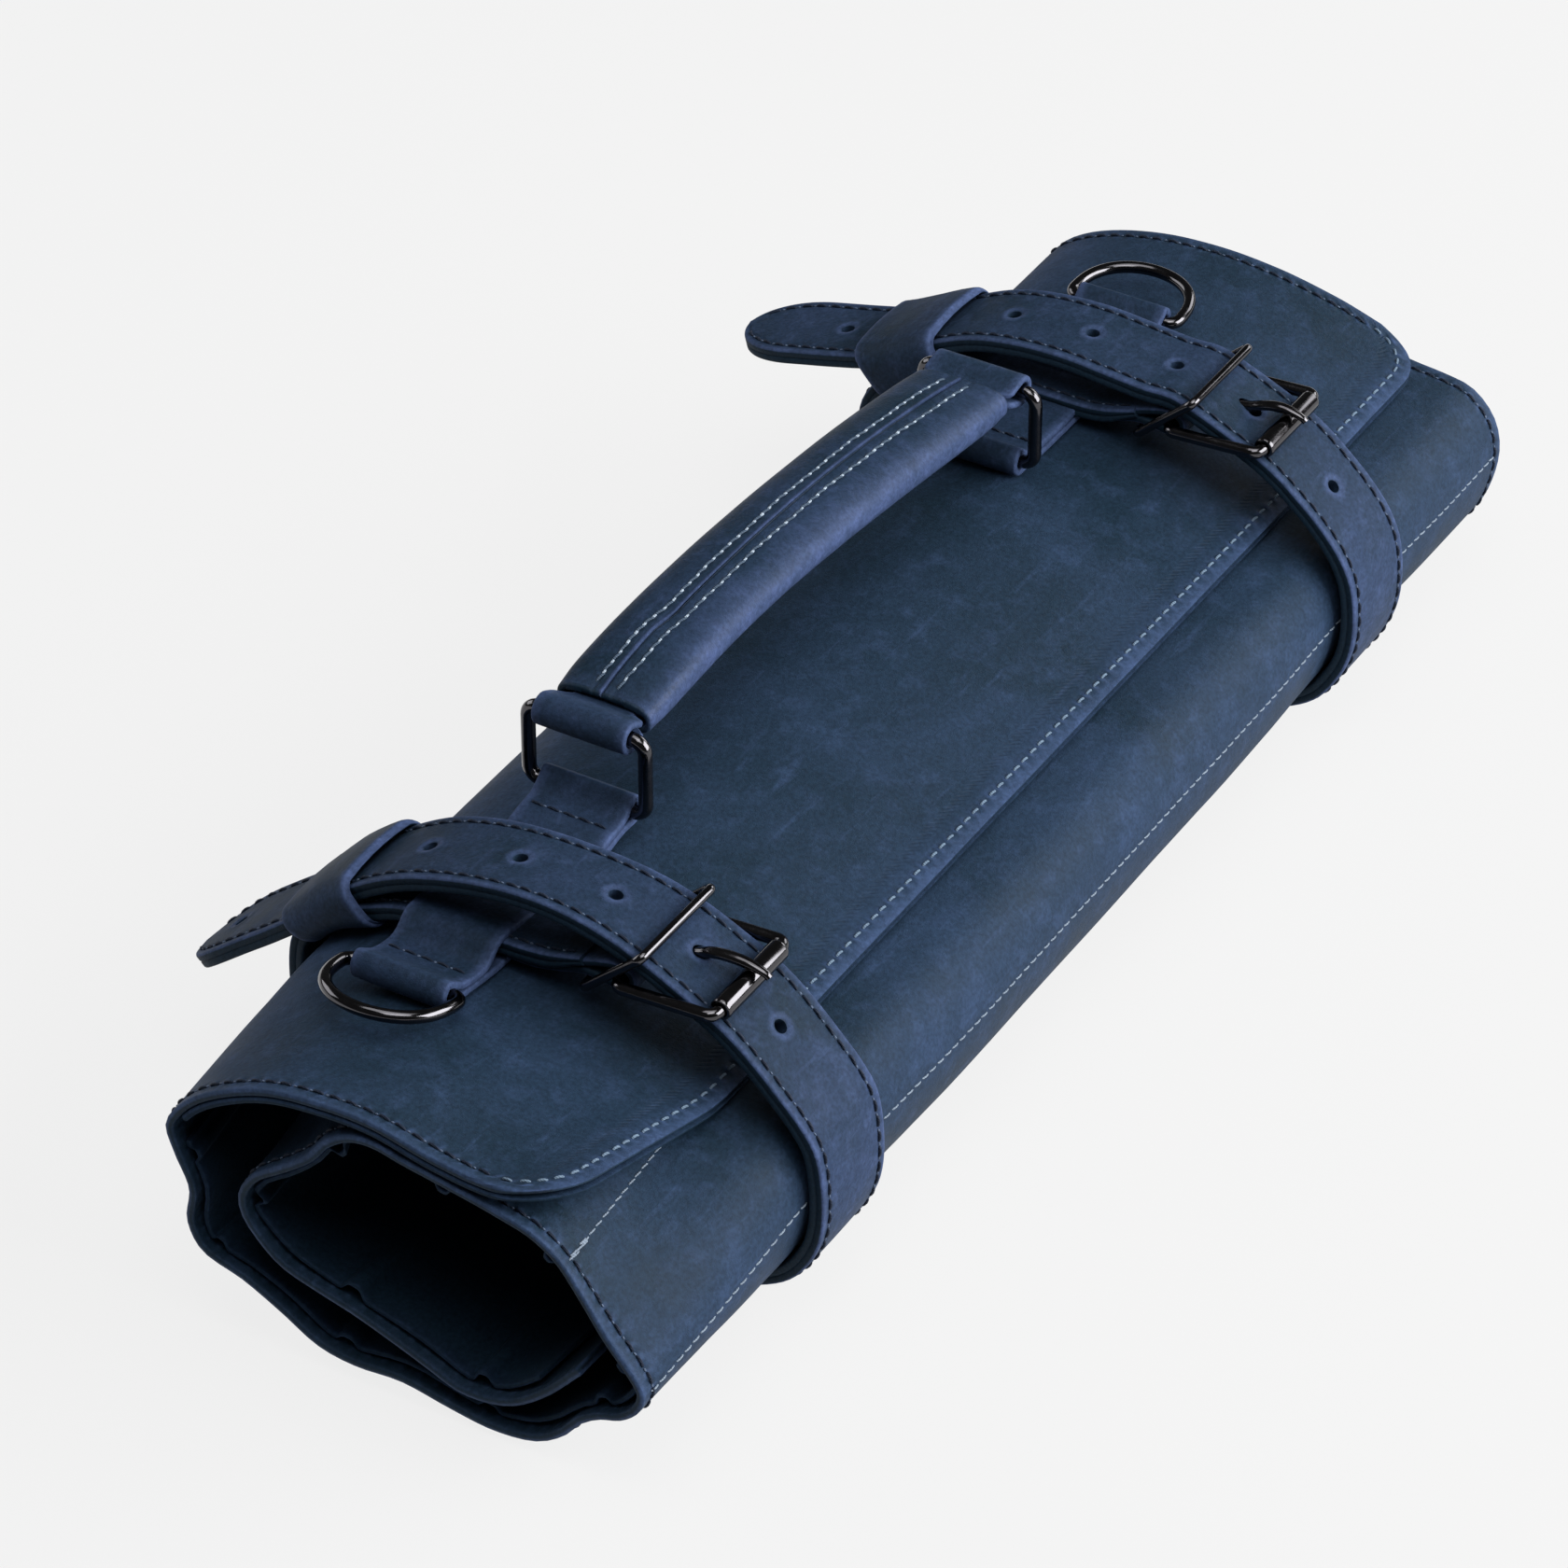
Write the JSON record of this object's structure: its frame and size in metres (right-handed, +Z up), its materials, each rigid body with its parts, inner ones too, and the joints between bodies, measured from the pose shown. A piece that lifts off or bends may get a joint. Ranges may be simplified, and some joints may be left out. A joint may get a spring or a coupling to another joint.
{
  "type": "chef knife roll",
  "caption": "Leather knife roll, closed: a sheet rolled about two turns, held by two buckled belts, with a padded handle and D-rings on top.",
  "frame": {"origin": "centre of the bounding box, on the surface that the belts' undersides rest on", "axes": "+X along the roll, from the open near end to the far end; +Y to the back, the side the belt tips point to; +Z up"},
  "size_m": [0.46, 0.1998, 0.1173],
  "materials": {
    "cover_leather": "matte",
    "lining_leather": "matte",
    "belt_leather": "satin",
    "grip_leather": "satin",
    "dark_metal": "polished"
  },
  "bodies": {
    "roll": {"cover": "cover_leather", "flap_lining": "lining_leather", "pocket_panel": "lining_leather", "strap_near": "belt_leather", "keeper_near": "belt_leather", "buckle_frame_near": "dark_metal", "buckle_prong_near": "dark_metal", "metal_keeper_near": "dark_metal", "anchor_tab_near": "belt_leather", "strap_far": "belt_leather", "keeper_far": "belt_leather", "buckle_frame_far": "dark_metal", "buckle_prong_far": "dark_metal", "metal_keeper_far": "dark_metal", "anchor_tab_far": "belt_leather"},
    "ring_near": {"handle_ring_near": "dark_metal"},
    "ring_far": {"handle_ring_far": "dark_metal"},
    "handle": {"handle_strap": "belt_leather", "handle_grip": "grip_leather"},
    "d_ring_near": {"d_ring_near": "dark_metal"},
    "d_ring_far": {"d_ring_far": "dark_metal"},
    "roller_near": {"buckle_roller_near": "dark_metal"},
    "roller_far": {"buckle_roller_far": "dark_metal"}
  },
  "joints": [
    {"name": "handle_swing", "type": "hinge", "parent": "roll", "child": "ring_near", "pos_m": [-0.096, 0.0049, 0.0864], "axis": [0, 1, 0], "range_deg": [-48, 48]},
    {"name": "handle_level", "type": "hinge", "parent": "ring_near", "child": "handle", "pos_m": [-0.096, 0.0049, 0.1088], "axis": [0, 1, 0], "range_deg": [-48, 48]},
    {"name": "far_ring_swing", "type": "hinge", "parent": "roll", "child": "ring_far", "pos_m": [0.097, 0.0009, 0.0826], "axis": [0, 1, 0], "range_deg": [-48, 48]},
    {"name": "d_ring_near_lift", "type": "hinge", "parent": "roll", "child": "d_ring_near", "pos_m": [-0.179, 0.0049, 0.0844], "axis": [0, 1, 0], "range_deg": [-4, 140]},
    {"name": "d_ring_far_lift", "type": "hinge", "parent": "roll", "child": "d_ring_far", "pos_m": [0.179, 0.0009, 0.0822], "axis": [0, -1, 0], "range_deg": [-4, 140]},
    {"name": "roller_near_spin", "type": "hinge", "parent": "roll", "child": "roller_near", "pos_m": [-0.1416, -0.0699, 0.0885], "axis": [1, 0, 0], "continuous": true},
    {"name": "roller_far_spin", "type": "hinge", "parent": "roll", "child": "roller_far", "pos_m": [0.1416, -0.0699, 0.0885], "axis": [1, 0, 0], "continuous": true}
  ],
  "couplings": [
    {"joint": "handle_level", "follows": "handle_swing", "ratio": -1},
    {"joint": "far_ring_swing", "follows": "handle_swing", "ratio": 1}
  ]
}
